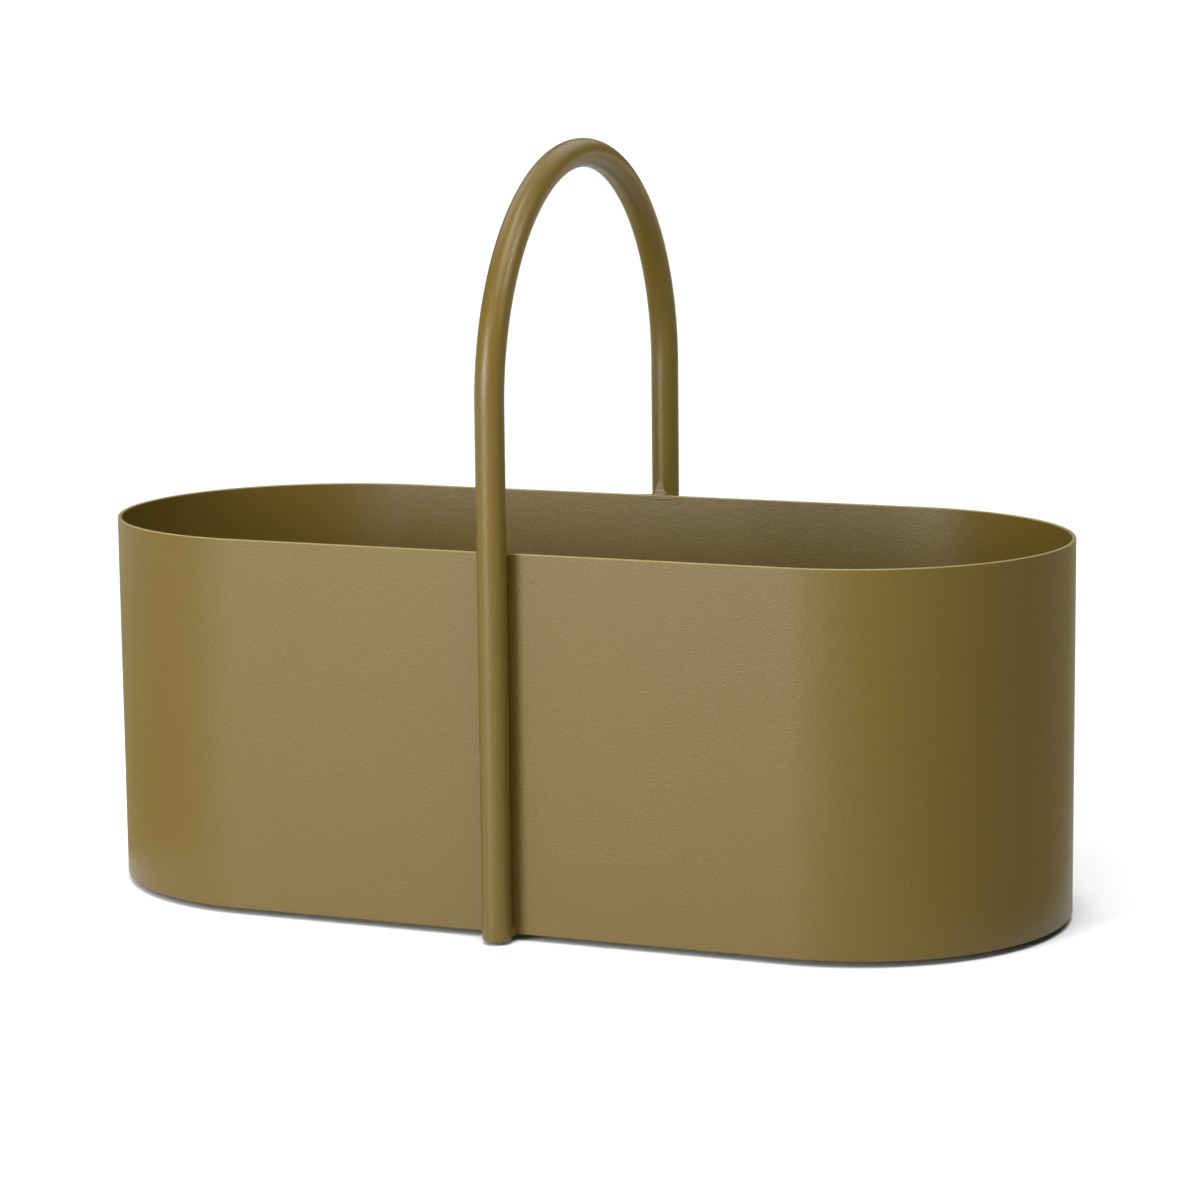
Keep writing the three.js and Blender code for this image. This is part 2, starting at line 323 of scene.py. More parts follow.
def sweep(tree, path, section, caps=False, scale=1.0):
    """A section carried along a path, at a scale that may change from point to point."""
    inputs = {"Curve": path, "Profile Curve": section, "Fill Caps": caps, "Scale": scale}
    return add_node(tree, "GeometryNodeCurveToMesh", inputs).outputs[0]


def build(name, tree, sizes):
    """Runs a geometry tree with the given sizes and keeps the result as a plain mesh object."""
    piece = bpy.data.objects.new(name, bpy.data.meshes.new(name))
    bpy.context.scene.collection.objects.link(piece)
    modifier = piece.modifiers.new("Build", "NODES")
    modifier.node_group = tree
    for socket in tree.interface.items_tree:
        if socket.in_out == "INPUT":
            modifier[socket.identifier] = sizes[socket.name]
    keep_modifiers(piece)
    return piece


def keep_modifiers(piece):
    """Turns what the modifiers show into the piece's own mesh."""
    graph = bpy.context.evaluated_depsgraph_get()
    made = bpy.data.meshes.new_from_object(piece.evaluated_get(graph))
    if not made.polygons:
        raise RuntimeError(f"{piece.name} came out empty")
    piece.modifiers.clear()
    old = piece.data
    piece.data = made
    bpy.data.meshes.remove(old)
    made.name = piece.name


def true_flats(piece):
    """Gives flat faces their own normal right up to a small rounding."""
    modifier = piece.modifiers.new("True flats", "WEIGHTED_NORMAL")
    modifier.keep_sharp = True
    modifier.weight = 100
    keep_modifiers(piece)


def stand_for(piece, slot, *nodes):
    """Puts a finished piece in the place of its CAD nodes."""
    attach(piece, BODY)
    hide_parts(*nodes)


# Meshes made point by point


def piece_from(name, points, faces, material):
    """A smooth-shaded mesh object from points and faces."""
    mesh = bpy.data.meshes.new(name)
    mesh.from_pydata(points, [], faces)
    mesh.materials.append(material)
    mesh.shade_smooth()
    mesh.set_sharp_from_angle(angle=SHARP_ANGLE)
    mesh.validate()
    piece = bpy.data.objects.new(name, mesh)
    bpy.context.scene.collection.objects.link(piece)
    return piece


def skin(rings):
    """Points and faces of a closed body through rings of equal size, capped at its first and last ring."""
    points = [point for ring in rings for point in ring]
    count = len(rings[0])
    faces = [tuple(reversed(range(count)))]
    for level in range(len(rings) - 1):
        for i in range(count):
            corner = level * count + i
            after = level * count + (i + 1) % count
            faces.append((corner, after, after + count, corner + count))
    faces.append(tuple(range(len(points) - count, len(points))))
    return points, faces


def merge(bodies):
    """Points and faces of several bodies as one list of each."""
    points, faces = [], []
    for more_points, more_faces in bodies:
        start = len(points)
        points.extend(more_points)
        faces.extend(tuple(start + i for i in face) for face in more_faces)
    return points, faces


def shell(front, back, columns, rows):
    """Points and faces of a closed body between two grids over u from -1 to 1 and v from 0 to 1."""
    grid = [(2 * i / columns - 1, j / rows) for j in range(rows + 1) for i in range(columns + 1)]
    points = [face(u, v) for face in (front, back) for u, v in grid]
    half = len(grid)
    wide = columns + 1
    faces = []
    for j in range(rows):
        for i in range(columns):
            a = j * wide + i
            faces.append((a, a + 1, a + wide + 1, a + wide))
            faces.append((half + a + wide, half + a + wide + 1, half + a + 1, half + a))
    border = list(range(wide))
    border += [j * wide + columns for j in range(1, rows + 1)]
    border += [rows * wide + i for i in range(columns - 1, -1, -1)]
    border += [j * wide for j in range(rows - 1, 0, -1)]
    for i, corner in enumerate(border):
        after = border[(i + 1) % len(border)]
        faces.append((after, corner, half + corner, half + after))
    return points, faces


def bowed(start, pull, end, share):
    """The point at a share of the curve from a start to an end that is bowed towards a third point."""
    return start * (1 - share) ** 2 + pull * (2 * share * (1 - share)) + end * share**2


def turned_about(points, faces):
    """A body turned half a turn about the middle of the box."""
    return [Vector((-x, -y, z)) for x, y, z in points], faces


# Materials


def start_material(name):
    """A new material's tree with its shader, and the piece's own coordinates."""
    material = bpy.data.materials.new(name)
    material.use_nodes = True
    tree = material.node_tree
    shader = tree.nodes["Principled BSDF"]
    coordinates = tree.nodes.new("ShaderNodeTexCoord").outputs["Object"]
    return material, tree, shader, coordinates


def noise(tree, coordinates, width, detail=2.0):
    """Noise whose bumps are about as wide as asked."""
    inputs = {"Vector": coordinates, "Scale": 1.0 / width, "Detail": detail}
    return add_node(tree, "ShaderNodeTexNoise", inputs).outputs["Fac"]


def spread(tree, value, span, result):
    """A value mapped from one span to another and held there."""
    inputs = {
        "Value": value,
        "From Min": span[0],
        "From Max": span[1],
        "To Min": result[0],
        "To Max": result[1],
    }
    return add_node(tree, "ShaderNodeMapRange", inputs).outputs["Result"]


def tint(tree, factor, first, second):
    """One colour turned into another by a factor."""
    inputs = {"Factor": factor, "A": first, "B": second}
    return add_node(tree, "ShaderNodeMix", inputs, data_type="RGBA").outputs["Result"]


def bump(tree, height, depth, under=None):
    """A bump of a real depth in metres, over another one."""
    inputs = {"Height": height, "Distance": depth, "Strength": 1.0}
    if under is not None:
        inputs["Normal"] = under
    return add_node(tree, "ShaderNodeBump", inputs).outputs["Normal"]


def powder_coat(name, coat, coarseness, relief, roughness, rim):
    """Satin powder coat: orange peel, a fine grain with darker flecks and, at the rim, a painted highlight:
    a lighter band along its top.
    """
    material, tree, shader, coordinates = start_material(name)
    peel = noise(tree, coordinates, coat.peel * coarseness)
    grain = noise(tree, coordinates, coat.grain * coarseness, FINE_DETAIL)
    drift = noise(tree, coordinates, coat.drift_width)
    flecks = spread(tree, grain, FLECK_SPAN, FULL_SPAN)
    change = spread(tree, drift, NOISE_SPAN, (-coat.drift, coat.drift))
    colour = tint(tree, maths(tree, "ADD", flecks, change), (*coat.shade, 1), (*coat.colour, 1))
    # Painted highlight: the top of the rim is turned towards the lighter edge tone, in place of the gloss
    # of the lamps on its rounded edge.
    if rim:
        height = add_node(tree, "ShaderNodeSeparateXYZ", {"Vector": coordinates}).outputs["Z"]
        bright = spread(tree, height, (rim - coat.highlight_band, rim - coat.highlight_band / 2), FULL_SPAN)
        colour = tint(tree, bright, colour, (*coat.edge, 1))
    tree.links.new(colour, shader.inputs["Base Color"])
    satin = spread(tree, peel, NOISE_SPAN, (roughness + coat.uneven, roughness - coat.uneven))
    tree.links.new(satin, shader.inputs["Roughness"])
    dimples = bump(tree, peel, coat.peel_depth * relief)
    tree.links.new(bump(tree, grain, coat.grain_depth * relief, dimples), shader.inputs["Normal"])
    shader.inputs["IOR"].default_value = coat.ior
    return material


def pad_rubber(name, coat):
    """Matt black rubber with a moulded grain and a little dust."""
    material, tree, shader, coordinates = start_material(name)
    grain_width, grain_depth = 0.0004, 0.00003
    dust_width, most_dust, dust_lightness = 0.003, 0.35, 4
    roughness = (0.7, 0.9)
    grain = noise(tree, coordinates, grain_width, FINE_DETAIL)
    dust = spread(tree, noise(tree, coordinates, dust_width), DUST_SPAN, (0.0, most_dust))
    dusty = (*(dust_lightness * part for part in coat.rubber), 1)
    tree.links.new(tint(tree, dust, (*coat.rubber, 1), dusty), shader.inputs["Base Color"])
    tree.links.new(spread(tree, grain, NOISE_SPAN, roughness), shader.inputs["Roughness"])
    tree.links.new(bump(tree, grain, grain_depth), shader.inputs["Normal"])
    return material


def matt_paper(name, paper):
    """Matt paper for the floor or a card, with a faint drift of tone."""
    material, tree, shader, coordinates = start_material(name)
    drift_width, dullest, roughness = 0.5, 0.99, 0.9
    drift = spread(tree, noise(tree, coordinates, drift_width), NOISE_SPAN, FULL_SPAN)
    duller = (*(dullest * part for part in paper), 1)
    tree.links.new(tint(tree, drift, (*paper, 1), duller), shader.inputs["Base Color"])
    shader.inputs["Roughness"].default_value = roughness
    shader.inputs["Specular IOR Level"].default_value = 0.0
    return material


def coat_for(context, coarseness=1.0, relief=1.0, gloss=1.0, rim=None):
    """The coat's material, made once for each finish, with a painted highlight along the top of the rim
    where a rim's height is given.
    """
    name = f"powder_coat_{coarseness:.1f}_{relief:.1f}_{gloss:.1f}" + ("_rim" if rim else "")
    coat = context.scene.toolbox.coat
    roughness = coat.roughness / gloss
    return bpy.data.materials.get(name) or powder_coat(name, coat, coarseness, relief, roughness, rim)


# Pieces


class TOOLBOX_OT_wall(bpy.types.Operator):
    """Sweep the sheet's round-edged section round the stadium outline"""

    bl_idname = "toolbox.wall"
    bl_label = "Rolled wall"

    def execute(self, context):
        box = context.scene.toolbox.box
        sizes = {
            "Length": box.length,
            "Width": box.width,
            "Lower Edge": box.lower_edge,
            "Height": box.height,
            "Sheet": box.sheet,
            "Edge Radius": box.edge_radius,
        }
        tree, size = start_tree("Rolled wall", sizes)
        half_sheet = maths(tree, "DIVIDE", size["Sheet"], 2.0)
        half_height = maths(tree, "DIVIDE", size["Height"], 2.0)
        middle = maths(tree, "ADD", size["Lower Edge"], half_height)
        path, _ = stadium_path(tree, size["Length"], size["Width"], half_sheet, middle)
        section = pull_apart(
            tree,
            circle(tree, size["Edge Radius"], EDGE_POINTS),
            maths(tree, "SUBTRACT", half_sheet, size["Edge Radius"]),
            maths(tree, "SUBTRACT", half_height, size["Edge Radius"]),
        )
        coat = coat_for(context, **SHEET_FINISH, rim=box.lower_edge + box.height)
        end_tree(tree, sweep(tree, path, section), coat)
        wall = build("wall", tree, sizes)
        true_flats(wall)
        stand_for(wall, STEEL_SLOT, "wall_band", "wall_seam_weld")
        return {"FINISHED"}


def stadium_ring(box, inset, height):
    """Points of the box's plan outline at a height, moved in from the outside face by an inset."""
    radius = box.width / 2 - inset
    straight = (box.length - box.width) / 2
    ring = []
    for i in range(BOX_POINTS):
        angle = 2 * math.pi * (i + 0.5) / BOX_POINTS
        x = radius * math.cos(angle)
        ring.append(Vector((x + math.copysign(straight, x), radius * math.sin(angle), height)))
    return ring


class TOOLBOX_OT_floor(bpy.types.Operator):
    """Make the floor plate, with the coat pooled in a small cove along the wall"""

    bl_idname = "toolbox.floor"
    bl_label = "Floor plate"

    def execute(self, context):
        box = context.scene.toolbox.box
        cove_steps = 6
        bury = box.sheet / 4
        rings = [
            stadium_ring(box, box.sheet - bury, box.floor_underside),
            stadium_ring(box, box.sheet - bury, box.floor_top + box.cove),
        ]
        for i in range(cove_steps + 1):
            angle = math.pi / 2 * i / cove_steps
            inset = box.sheet + box.cove * (1 - math.cos(angle))
            rings.append(stadium_ring(box, inset, box.floor_top + box.cove * (1 - math.sin(angle))))
        points, faces = skin(rings)
        floor = piece_from("floor", points, faces, coat_for(context, **SHEET_FINISH))
        true_flats(floor)
        stand_for(floor, STEEL_SLOT, "floor_plate")
        return {"FINISHED"}


class TOOLBOX_OT_handle(bpy.types.Operator):
    """Sweep the tube up the front leg, over the arch and down the rear leg"""

    bl_idname = "toolbox.handle"
    bl_label = "Handle tube"

    def execute(self, context):
        handle = context.scene.toolbox.handle
        sizes = {
            "Diameter": handle.diameter,
            "Leg Offset": handle.leg_y,
            "Arch Centre": handle.arch_centre,
            "Tube End": handle.tube_end,
        }
        tree, size = start_tree("Handle tube", sizes)
        # The arc has one point too many at each end, which becomes the foot of a leg
        step = math.pi / (ARCH_POINTS - 1)
        inputs = {
            "Resolution": ARCH_POINTS + 2,
            "Radius": size["Leg Offset"],
            "Start Angle": -step,
            "Sweep Angle": math.pi + 2 * step,
        }
        arc = add_node(tree, "GeometryNodeCurveArc", inputs).outputs["Curve"]
        x, _, _ = here(tree)
        foot = vector(
            tree,
            maths(tree, "MULTIPLY", maths(tree, "SIGN", x), size["Leg Offset"]),
            maths(tree, "SUBTRACT", size["Tube End"], size["Arch Centre"]),
        )
        inputs = {"Start Size": 1, "End Size": 1}
        ends = add_node(tree, "GeometryNodeCurveEndpointSelection", inputs).outputs[0]
        inputs = {"Geometry": arc, "Selection": ends, "Position": foot}
        bent = add_node(tree, "GeometryNodeSetPosition", inputs).outputs[0]
        inputs = {
            "Geometry": bent,
            "Translation": vector(tree, 0.0, 0.0, size["Arch Centre"]),
            "Rotation": (math.pi / 2, 0.0, math.pi / 2),
        }
        upright = add_node(tree, "GeometryNodeTransform", inputs).outputs[0]
        section = circle(tree, maths(tree, "DIVIDE", size["Diameter"], 2.0), TUBE_SIDES)
        end_tree(tree, sweep(tree, upright, section, caps=True), coat_for(context, **TUBE_FINISH))
        tube = build("handle", tree, sizes)
        stand_for(tube, STEEL_SLOT, "handle_tube")
        return {"FINISHED"}


def turned_body(profile, x, y):
    """Points and faces of a body turned about an upright line, from its [radius, height] profile."""
    rings = []
    for radius, height in profile:
        ring = []
        for i in range(TURNED_SIDES):
            angle = 2 * math.pi * i / TURNED_SIDES
            ring.append(Vector((x + radius * math.cos(angle), y + radius * math.sin(angle), height)))
        rings.append(ring)
    return skin(rings)


class TOOLBOX_OT_end_plugs(bpy.types.Operator):
    """Close the feet of both legs with round-edged plugs"""

    bl_idname = "toolbox.end_plugs"
    bl_label = "End plugs"

    def execute(self, context):
        handle = context.scene.toolbox.handle
        edge_steps = 8
        profile = []
        for i in range(edge_steps + 1):
            angle = math.pi / 2 * i / edge_steps
            radius = handle.diameter / 2 - handle.plug_edge * (1 - math.sin(angle))
            profile.append((radius, handle.plug_end + handle.plug_edge * (1 - math.cos(angle))))
        profile.append((handle.diameter / 2, handle.tube_end))
        for side, y in (("front", -handle.leg_y), ("rear", handle.leg_y)):
            points, faces = turned_body(profile, 0.0, y)
            plug = piece_from(f"{side}_plug", points, faces, coat_for(context))
            true_flats(plug)
            stand_for(plug, STEEL_SLOT, f"{side}_end_plug")
        return {"FINISHED"}


class TOOLBOX_OT_rim_welds(bpy.types.Operator):
    """Lay the beads that join the legs to the rim"""

    bl_idname = "toolbox.rim_welds"
    bl_label = "Rim welds"

    def execute(self, context):
        box, handle, welds = (getattr(context.scene.toolbox, name) for name in ("box", "handle", "welds"))
        radius = handle.diameter / 2
        rim = box.lower_edge + box.height
        inner_face = box.width / 2 - box.sheet
        # How far the bead sinks into the rim, stands proud of the tube and moves with its ripples
        sink, proud, ripple_height = 0.0004, 0.0006, 0.00005
        # How evenly the bead leans back to the tube, how steep its sides are and how blunt its upper end is
        lean, steepness, bluntness = 0.8, 9, 12
        # Highest share of the bead's rise that its width is taken at, and its rear side's share of it
        highest, rear_share = 0.999, 0.9
        # The dressed run's gap at its foot, swell of its brow, reach and lift over the rim, and rear face
        foot_gap, swell, reach, lift, rear = 0.00005, 0.0006, 0.0011, 0.00025, 0.0012
        # How roundly the dressed run fades out towards its two ends
        fading = 0.9

        def bell(v):
            # Half of the flare falls off evenly and half of it close to the rim
            flare = ((1 - v) + (1 - v) ** 4) / 2
            neck = welds.rim_crown / 2 + (welds.rim_base - welds.rim_crown) / 2 * flare
            return neck * math.sqrt(1 - min(v, highest) ** bluntness)

        def bead_face(u, v):
            across = math.sin(math.pi / 2 * u)
            x = across * bell(v)
            on_tube = handle.leg_y - math.sqrt(radius**2 - x**2) + sink / 2
            crown = inner_face + (handle.leg_y - radius - proud - inner_face) * v**lean
            ripple = ripple_height * math.sin(2 * math.pi * v * welds.rim_rise / welds.ripple)
            y = crown + ripple + (on_tube - crown - ripple) * abs(across) ** steepness
            return Vector((x, y, rim - sink + (welds.rim_rise + sink) * v))

        def bead_back(u, v):
            spot = bead_face(u, v)
            return Vector((spot.x * rear_share, handle.leg_y - radius / 2, spot.z))

        def dressed_face(u, v):
            fade = (1 - u**2) ** fading
            depth = welds.dressed_depth * fade
            toe = Vector((0, inner_face + foot_gap, rim - sink - depth))
            brow = Vector((0, inner_face - swell * fade, rim - sink - depth / 2))
            top = Vector((0, inner_face + reach, rim - sink + (sink + lift) * fade))
            spot = bowed(toe, brow, top, v)
            spot.x = u * welds.dressed_run / 2
            return spot

        def dressed_back(u, v):
            spot = dressed_face(u, v)
            return Vector((spot.x, inner_face + rear, spot.z - sink))

        bead = shell(bead_face, bead_back, columns=28, rows=24)
        dressed = shell(dressed_face, dressed_back, columns=40, rows=10)
        points, faces = merge((bead, dressed))
        for side, body in (("rear", (points, faces)), ("front", turned_about(points, faces))):
            made = piece_from(f"{side}_rim_bead", *body, coat_for(context, **BEAD_FINISH))
            stand_for(made, STEEL_SLOT, f"{side}_rim_weld")
        return {"FINISHED"}


class TOOLBOX_OT_foot_tacks(bpy.types.Operator):
    """Pool the tacks between each leg and the foot of the wall"""

    bl_idname = "toolbox.foot_tacks"
    bl_label = "Foot tacks"

    def execute(self, context):
        box, handle, welds = (getattr(context.scene.toolbox, name) for name in ("box", "handle", "welds"))
        radius = handle.diameter / 2
        wall_face = box.width / 2
        # How far a tack is buried in leg and wall, swells from the wall and narrows towards its top
        bury, swell, narrowing = 0.0003, 0.0019, 0.9
        # How far round the leg a tack reaches, and shares of its reach and of the leg's radius for its
        # outermost line and its core
        widest, spread_share, core_share = math.radians(64), 1.02, 0.1

        def tack(towards):
            def face(u, v):
                reach = math.sqrt(1 - narrowing * v**2)
                bearing = widest * reach
                foot = Vector((welds.tack_reach * reach, wall_face - bury, 0))
                tip = Vector(((radius - bury) * math.sin(bearing), 0, 0))
                tip.y = handle.leg_y - (radius - bury) * math.cos(bearing)
                root = Vector((foot.x * spread_share, wall_face + swell * reach, 0))
                spot = bowed(foot, root, tip, (u + 1) / 2)
                spot.x *= towards
                spot.z = box.lower_edge + welds.tack_rise * v
                return spot

            def inside(u, v):
                spot = face(u, v)
                return Vector((towards * radius * core_share, (spot.y + wall_face) / 2, spot.z))

            points, faces = shell(face, inside, columns=14, rows=12)
            return points, faces if towards > 0 else [tuple(reversed(corners)) for corners in faces]

        for number, towards in ((1, -1), (2, 1)):
            points, faces = tack(towards)
            for side, body in (("rear", (points, faces)), ("front", turned_about(points, faces))):
                bead = piece_from(f"{side}_tack_{number}", *body, coat_for(context, **BEAD_FINISH))
                stand_for(bead, STEEL_SLOT, f"{side}_foot_tack_{number}")
        return {"FINISHED"}


class TOOLBOX_OT_floor_welds(bpy.types.Operator):
    """Lay the stitches of rippled bead under the floor's edge"""

    bl_idname = "toolbox.floor_welds"
    bl_label = "Floor welds"

    def execute(self, context):
        box, welds = context.scene.toolbox.box, context.scene.toolbox.welds
        sizes = {
            "Length": box.length,
            "Width": box.width,
            "Sheet": box.sheet,
            "Floor Underside": box.floor_underside,
            "Bead Leg": welds.stitch_leg,
            "Stitch Length": welds.stitch_length,
            "Stitch Pitch": welds.stitch_pitch,
            "Ripple": welds.ripple,
        }
        tree, size = start_tree("Floor welds", sizes)
        path_points = 3400
        # The bead's radius as a share of its leg, the ripples' depth, and the end caps' width and bluntness
        bead_share, ripple_depth, cap_share, bluntness = 0.7, 0.07, 0.02, 12.0
        bead = maths(tree, "MULTIPLY", size["Bead Leg"], bead_share)
        in_corner = maths(tree, "SUBTRACT", size["Bead Leg"], bead)
        inset = maths(tree, "ADD", size["Sheet"], in_corner)
        height = maths(tree, "SUBTRACT", size["Floor Underside"], in_corner)
        path, straight = stadium_path(tree, size["Length"], size["Width"], inset, height)
        fine = resampled(tree, path, path_points)
        line = add_node(tree, "GeometryNodeCurveToMesh", {"Curve": fine}).outputs[0]
        x, y, _ = here(tree)
        half = maths(tree, "DIVIDE", size["Stitch Length"], 2.0)
        pitches = maths(tree, "ROUND", maths(tree, "DIVIDE", x, size["Stitch Pitch"]))
        from_stitch = maths(tree, "SUBTRACT", x, maths(tree, "MULTIPLY", pitches, size["Stitch Pitch"]))
        beside = maths(tree, "LESS_THAN", maths(tree, "ABSOLUTE", from_stitch), half)
        on_side = maths(tree, "LESS_THAN", maths(tree, "ABSOLUTE", x), straight)
        at_end = maths(tree, "LESS_THAN", maths(tree, "ABSOLUTE", y), half)
        stitched = logic(tree, "OR", logic(tree, "AND", beside, on_side), at_end)
        bare = logic(tree, "NOT", stitched)
        inputs = {"Geometry": line, "Selection": bare}
        stitches = add_node(tree, "GeometryNodeDeleteGeometry", inputs).outputs[0]
        runs = add_node(tree, "GeometryNodeMeshToCurve", {"Mesh": stitches}).outputs[0]
        along = add_node(tree, "GeometryNodeSplineParameter").outputs
        turns = maths(tree, "DIVIDE", maths(tree, "MULTIPLY", along["Length"], 2 * math.pi), size["Ripple"])
        wave = maths(tree, "MULTIPLY_ADD", maths(tree, "SINE", turns), ripple_depth, 1 - ripple_depth)
        from_middle = maths(tree, "ABSOLUTE", maths(tree, "MULTIPLY_ADD", along["Factor"], 2.0, -1.0))
        drawn_in = maths(tree, "POWER", from_middle, bluntness)
        taper = maths(tree, "SQRT", maths(tree, "SUBTRACT", 1 + cap_share, drawn_in))
        swell = maths(tree, "MULTIPLY", bead, maths(tree, "MULTIPLY", wave, taper))
        section = circle(tree, 1.0, BEAD_SIDES)
        rolls = sweep(tree, level_curve(tree, runs), section, caps=True, scale=swell)
        end_tree(tree, rolls, coat_for(context, **BEAD_FINISH))
        beads = build("floor_beads", tree, sizes)
        stand_for(beads, STEEL_SLOT, *(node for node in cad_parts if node.startswith("floor_weld_")))
        return {"FINISHED"}


class TOOLBOX_OT_pads(bpy.types.Operator):
    """Set a round-edged pad under each quarter of the floor"""

    bl_idname = "toolbox.pads"
    bl_label = "Foot pads"

    def execute(self, context):
        pads = context.scene.toolbox.pads
        sizes = {
            "Diameter": pads.diameter,
            "Height": pads.height,
            "Edge": pads.edge,
            "Along": pads.along,
            "Across": pads.across,
        }
        tree, size = start_tree("Foot pads", sizes)
        levels = 40
        top = vector(tree, 0.0, 0.0, size["Height"])
        stem = add_node(tree, "GeometryNodeCurvePrimitiveLine", {"End": top}).outputs[0]
        fine = resampled(tree, stem, levels)
        _, _, z = here(tree)
        risen = maths(tree, "MINIMUM", maths(tree, "DIVIDE", z, size["Edge"]), 1.0)
        fall = maths(tree, "SUBTRACT", 1.0, risen)
        out = maths(tree, "SQRT", maths(tree, "SUBTRACT", 1.0, maths(tree, "MULTIPLY", fall, fall)))
        drawn_in = maths(tree, "MULTIPLY", size["Edge"], maths(tree, "SUBTRACT", 1.0, out))
        radius = maths(tree, "SUBTRACT", maths(tree, "DIVIDE", size["Diameter"], 2.0), drawn_in)
        pad = sweep(tree, fine, circle(tree, 1.0, TURNED_SIDES), caps=True, scale=radius)
        inputs = {
            "Size X": maths(tree, "MULTIPLY", size["Along"], 2.0),
            "Size Y": maths(tree, "MULTIPLY", size["Across"], 2.0),
            "Vertices X": 2,
            "Vertices Y": 2,
        }
        quarters = add_node(tree, "GeometryNodeMeshGrid", inputs).outputs[0]
        inputs = {"Points": quarters, "Instance": pad}
        spots = add_node(tree, "GeometryNodeInstanceOnPoints", inputs).outputs[0]
        end_tree(tree, spots, pad_rubber("pad_rubber", context.scene.toolbox.coat))
        made = build("pads", tree, sizes)
        stand_for(made, PAD_SLOT, *(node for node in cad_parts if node.startswith("foot_pad_")))
        return {"FINISHED"}


# Stage

# Each far light's name, bearing to the right of the front and height above level in degrees, strength and
# apparent width in degrees
FAR_LAMPS = (
    ("key_low", -22, 7, 2.15, 20),
    ("front_top", 10, 62, 1.15, 30),
    ("top", 0, 88, 0.9, 10),
    ("upper_right", 45, 66, 0.72, 30),
    ("back_left", -120, 42, 0.72, 40),
    ("back", 180, 40, 0.6, 40),
)
# Each near light's name, bearing and height in degrees, distance from the point over the middle of the box
# that it faces, that point's height, side of its square face, power in watts and beam's width in degrees
NEAR_LAMPS = (
    ("softbox", -15, 20, 0.62, 0.105, 0.26, 1.74, 180),
    ("snoot", 82, 40, 0.70, 0.21, 0.18, 0.092, 24),
)
# Each card's name and its least and greatest X and Y in metres
CARDS = (
    ("card_right", (0.19, -0.8), (2.4, 2.2)),
    ("card_left", (-0.9, -0.2), (-0.19, 0.7)),
)


def add_card(name, low, high, stage):
    """A tan card just over the floor, which only the coat's gloss sees, in place of the white there."""
    outline = ((low[0], low[1]), (high[0], low[1]), (high[0], high[1]), (low[0], high[1]))
    corners = [(x, y, stage.card_height) for x, y in outline]
    card = piece_from(name, corners, [(0, 1, 2, 3)], matt_paper(name, stage.card))
    card.visible_camera = False
    card.visible_diffuse = False
    card.visible_shadow = False


def add_lamp(name, kind, axes, place, strength):
    """A lamp at a place, shining against the third of its axes."""
    light = bpy.data.lights.new(name, kind)
    light.energy = strength
    lamp = bpy.data.objects.new(name, light)
    bpy.context.scene.collection.objects.link(lamp)
    lamp.matrix_world = Matrix.Translation(place) @ axes.to_4x4()
    return lamp


def add_sun(name, azimuth, elevation, strength, angle):
    """A soft far light."""
    lamp = add_lamp(name, "SUN", facing(azimuth, elevation), Vector(), strength)
    lamp.data.angle = math.radians(angle)


def add_near_lamp(name, azimuth, elevation, distance, aim, size, power, beam):
    """A square lamp near the box, which no view shows."""
    axes = facing(azimuth, elevation)
    place = Vector((0, 0, aim)) + axes.col[2] * distance
    lamp = add_lamp(name, "AREA", axes, place, power)
    lamp.data.size = size
    lamp.data.spread = math.radians(beam)
    lamp.visible_camera = False


def facing(azimuth, elevation, roll=0.0):
    """Axes of a camera or lamp that looks at the box from a bearing and a height, in degrees."""
    bearing, height = math.radians(azimuth), math.radians(elevation)
    outward = math.cos(height)
    back = Vector((math.sin(bearing) * outward, -math.cos(bearing) * outward, math.sin(height)))
    right = Vector((0, 0, 1)).cross(back).normalized()
    level = Matrix((right, back.cross(right), back)).transposed()
    return level @ Matrix.Rotation(math.radians(roll), 3, "Z")


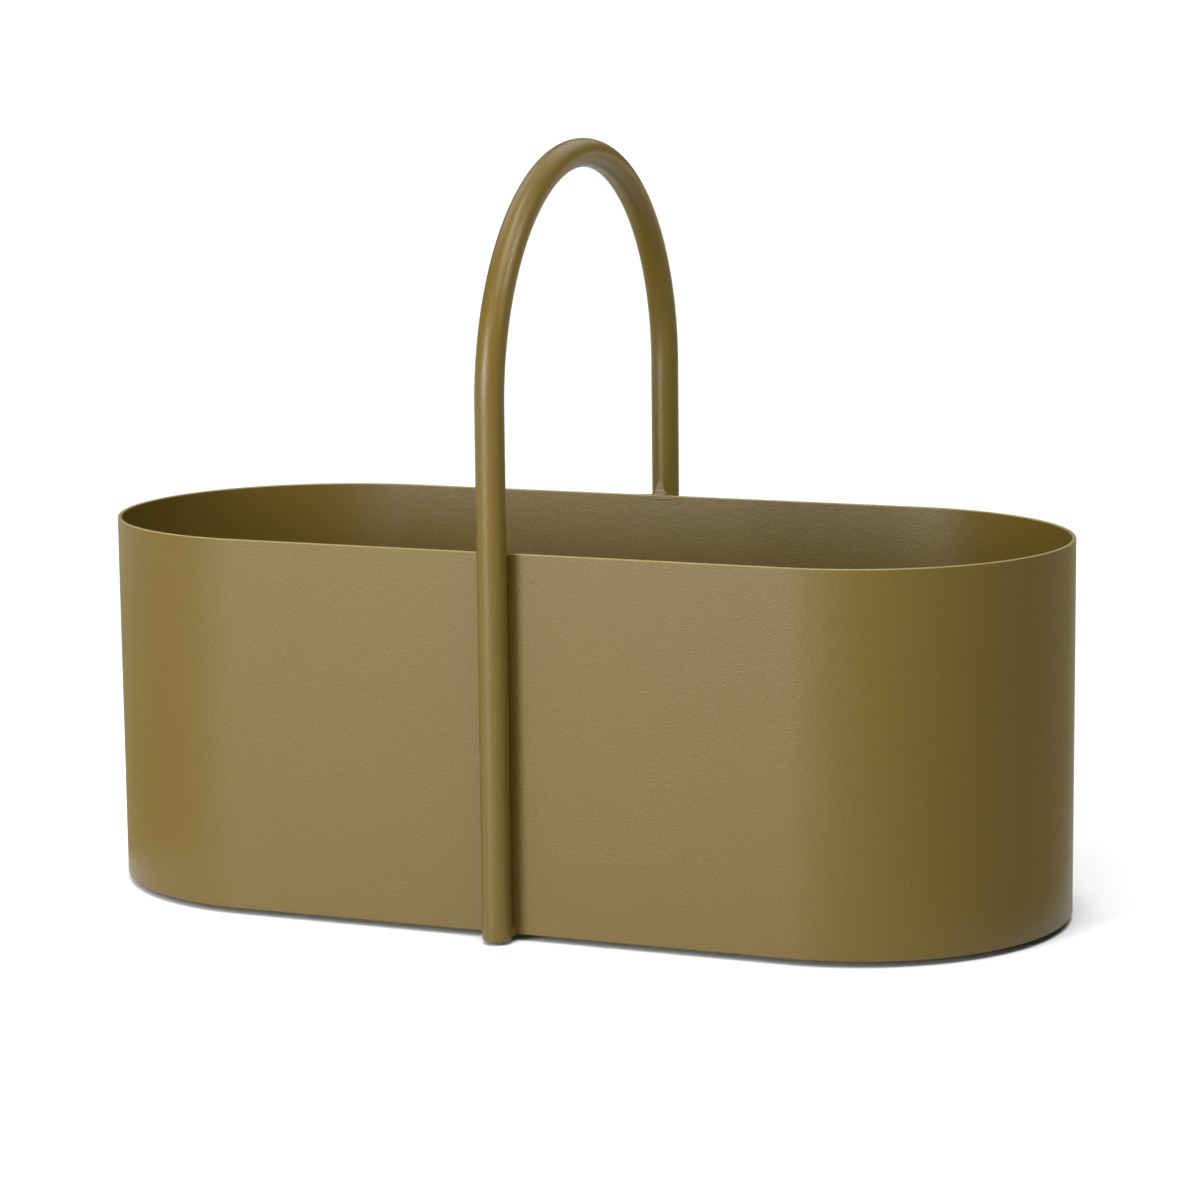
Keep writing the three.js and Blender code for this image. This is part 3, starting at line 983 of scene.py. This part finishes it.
class TOOLBOX_OT_stage(bpy.types.Operator):
    """Set the white floor, the cards, the lights and the camera"""

    bl_idname = "toolbox.stage"
    bl_label = "Stage"

    def execute(self, context):
        stage = context.scene.toolbox.stage
        # One face under the box and four round it that reach the horizon
        signs = ((-1, -1), (1, -1), (1, 1), (-1, 1))
        halves = (stage.near_floor / 2, stage.floor_size / 2)
        corners = [(a * half, b * half, -stage.floor_gap) for half in halves for a, b in signs]
        faces = [(0, 1, 2, 3)] + [(i, i + 4, (i + 1) % 4 + 4, (i + 1) % 4) for i in range(4)]
        floor = piece_from("ground", corners, faces, matt_paper("white_ground", stage.ground))
        for card in CARDS:
            add_card(*card, stage)

        world = bpy.data.worlds.new("Studio")
        world.use_nodes = True
        sky = world.node_tree.nodes["Background"]
        sky.inputs["Color"].default_value = (1, 1, 1, 1)
        sky.inputs["Strength"].default_value = stage.sky
        context.scene.world = world

        for lamp in FAR_LAMPS:
            add_sun(*lamp)
        for lamp in NEAR_LAMPS:
            add_near_lamp(*lamp)

        lens = bpy.data.cameras.new("Camera")
        lens.lens = stage.lens
        lens.clip_end = 2 * stage.floor_size
        camera = bpy.data.objects.new("Camera", lens)
        context.scene.collection.objects.link(camera)
        axes = facing(stage.azimuth, stage.elevation, stage.roll)
        spot = Vector(stage.target) + axes.col[2] * stage.distance
        camera.matrix_world = Matrix.Translation(spot) @ axes.to_4x4()
        context.scene.camera = camera
        context.scene.view_settings.view_transform = "Standard"
        return {"FINISHED"}


OPERATORS = (
    TOOLBOX_OT_wall,
    TOOLBOX_OT_floor,
    TOOLBOX_OT_handle,
    TOOLBOX_OT_end_plugs,
    TOOLBOX_OT_rim_welds,
    TOOLBOX_OT_foot_tacks,
    TOOLBOX_OT_floor_welds,
    TOOLBOX_OT_pads,
    TOOLBOX_OT_stage,
)


class TOOLBOX_PT_panel(bpy.types.Panel):
    """Lists the settings and the pieces of the toolbox"""

    bl_idname = "TOOLBOX_PT_panel"
    bl_label = "Toolbox"
    bl_space_type = "VIEW_3D"
    bl_region_type = "UI"
    bl_category = "Toolbox"

    def draw(self, context):
        settings = context.scene.toolbox
        for part in settings.__annotations__:
            group = getattr(settings, part)
            section = self.layout.box()
            for name in group.__annotations__:
                section.prop(group, name)
        for operator in OPERATORS:
            self.layout.operator(operator.bl_idname)


GROUPS = (ToolboxBox, ToolboxHandle, ToolboxWelds, ToolboxPads, ToolboxCoat, ToolboxStage, ToolboxSettings)
CLASSES = (*GROUPS, *OPERATORS, TOOLBOX_PT_panel)


def register():
    """Adds the classes and the scene's settings."""
    for made in CLASSES:
        bpy.utils.register_class(made)
    bpy.types.Scene.toolbox = PointerProperty(type=ToolboxSettings)


def unregister():
    """Takes the settings and the classes away."""
    del bpy.types.Scene.toolbox
    for made in reversed(CLASSES):
        bpy.utils.unregister_class(made)


def main():
    """Builds every piece and the stage."""
    register()
    for operator in OPERATORS:
        group, name = operator.bl_idname.split(".")
        getattr(getattr(bpy.ops, group), name)()


if __name__ == "__main__":
    main()
